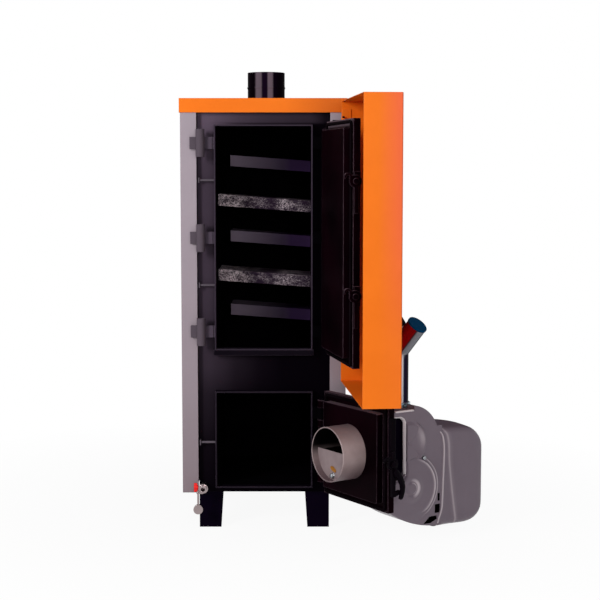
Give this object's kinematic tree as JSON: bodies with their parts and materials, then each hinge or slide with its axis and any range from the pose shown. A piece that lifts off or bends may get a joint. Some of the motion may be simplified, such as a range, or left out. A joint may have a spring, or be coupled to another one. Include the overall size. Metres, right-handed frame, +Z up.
{
  "type": "pellet boiler",
  "caption": "Tall floor-standing hot-water boiler with open insulated doors, tilted water shelves inside and a pellet burner carried on the lower door.",
  "frame": {"origin": "on the floor under the middle of the jacket's plan", "axes": "+Z up, front of the boiler towards -Y, +X to the right of someone facing the front"},
  "size_m": [1.1428, 1.3682, 1.757],
  "materials": {
    "orange_paint": "fine textured powder coat, half gloss",
    "grey_paint": "satin powder coat",
    "black_paint": "heat-resisting paint, satin",
    "boiler_plate": "mill steel darkened by soot",
    "bright_shelf": "rough, mottled",
    "lug_steel": "satin grey",
    "flue_enamel": "gloss enamel",
    "mineral_wool": "fibrous",
    "seal_rope": "braided, graphite",
    "nickel": "polished",
    "red_plastic": "gloss",
    "black_rubber": "matt",
    "black_lever": "satin",
    "burner_shell": "fine-grained, half gloss",
    "burner_steel": "heat-tinted",
    "pot_iron": "cast",
    "igniter_ceramic": "fired, rust-brown",
    "galvanised": "bright galvanised",
    "blue_plastic": "gloss",
    "zinc_screws": "zinc plated",
    "motor_case": "die cast",
    "board_case": "matt"
  },
  "bodies": {
    "boiler": {"front_plate": "black_paint", "outer_shell": "boiler_plate", "firebox": "boiler_plate", "water_shelves_front": "bright_shelf", "water_shelves_rear": "boiler_plate", "upper_collar": "black_paint", "lower_collar": "black_paint", "flue_spigot": "flue_enamel", "water_sockets": "zinc_screws", "legs": "black_paint", "side_panel_left": "grey_paint", "side_panel_right": "grey_paint", "rear_panel": "grey_paint", "top_lid": "orange_paint", "jacket_wool": "mineral_wool", "rear_screws": "zinc_screws", "spare_hinge_lugs": "lug_steel", "hinge_lugs": "black_paint", "hinge_pins": "zinc_screws", "keeper_rods": "lug_steel", "cover_brackets": "black_paint", "drain_valve_body": "nickel"},
    "inner_door": {"inner_door_tray": "black_paint", "inner_door_liner": "black_paint", "inner_door_wool": "mineral_wool", "inner_door_rope": "seal_rope", "inner_door_knuckles": "black_paint", "inner_latch_brackets": "black_paint"},
    "outer_door": {"outer_cover": "orange_paint", "outer_cover_ears": "orange_paint"},
    "lower_door": {"lower_door_tray": "black_paint", "lower_door_liner": "black_paint", "lower_door_wool": "mineral_wool", "lower_door_rope": "seal_rope", "lower_door_knuckles": "black_paint", "lower_latch_bracket": "black_paint", "burner_flange": "black_paint", "burner_flange_bolts": "zinc_screws", "burner_tube": "burner_steel", "burner_half_moon": "burner_steel", "burner_fire_pot": "pot_iron", "burner_igniter": "igniter_ceramic", "burner_housing": "burner_shell", "burner_fan_cover": "burner_shell", "burner_fan_motor": "motor_case", "burner_hood": "burner_shell", "burner_control_unit": "board_case", "burner_screws": "zinc_screws", "feed_clamp": "galvanised", "feed_tube": "galvanised", "feed_inlet_cap": "blue_plastic", "feed_top_cap": "black_rubber"},
    "inner_latch_top": {"inner_latch_top": "black_lever"},
    "inner_latch_bottom": {"inner_latch_bottom": "black_lever"},
    "lower_latch": {"lower_latch": "black_lever"},
    "drain_valve": {"drain_valve_ball": "nickel", "drain_valve_lever": "red_plastic"},
    "drain_cap": {"drain_cap": "black_rubber"},
    "fan": {"burner_fan_rotor": "board_case"}
  },
  "joints": [
    {"name": "lower_door_hinge", "type": "hinge", "parent": "boiler", "child": "lower_door", "pos_m": [0.22, -0.385, 0.3455], "axis": [0, 0, 1], "range_deg": [-124, 0]},
    {"name": "inner_door_hinge", "type": "hinge", "parent": "boiler", "child": "inner_door", "pos_m": [0.234, -0.385, 1.113], "axis": [0, 0, 1], "range_deg": [-102, 0]},
    {"name": "outer_door_hinge", "type": "hinge", "parent": "boiler", "child": "outer_door", "pos_m": [0.298, -0.382, 1.553], "axis": [0, 0, 1], "range_deg": [-95, 0]},
    {"name": "inner_latch_top_pivot", "type": "hinge", "parent": "inner_door", "child": "inner_latch_top", "pos_m": [0.32504, -0.82775, 1.328], "axis": [-0.2079, 0.9781, 0], "range_deg": [-30, 0]},
    {"name": "inner_latch_bottom_pivot", "type": "hinge", "parent": "inner_door", "child": "inner_latch_bottom", "pos_m": [0.32504, -0.82775, 0.934], "axis": [-0.2079, 0.9781, 0], "range_deg": [-30, 0]},
    {"name": "lower_latch_pivot", "type": "hinge", "parent": "lower_door", "child": "lower_latch", "pos_m": [0.46244, -0.7498, 0.334], "axis": [-0.5592, 0.829, 0], "range_deg": [-30, 0]},
    {"name": "drain_valve_turn", "type": "hinge", "parent": "boiler", "child": "drain_valve", "pos_m": [-0.253, -0.388, 0.166], "axis": [1, 0, 0], "range_deg": [0, 90]},
    {"name": "drain_cap_swing", "type": "hinge", "parent": "boiler", "child": "drain_cap", "pos_m": [-0.248, -0.412, 0.151], "axis": [0, 1, 0], "range_deg": [-25, 25]},
    {"name": "fan_spin", "type": "hinge", "parent": "lower_door", "child": "fan", "pos_m": [0.50054, -0.46114, 0.208], "axis": [-0.5592, 0.829, 0], "continuous": true}
  ],
  "couplings": [
    {"joint": "inner_door_hinge", "follows": "lower_door_hinge", "ratio": 0.82258},
    {"joint": "outer_door_hinge", "follows": "lower_door_hinge", "ratio": 0.76613}
  ]
}
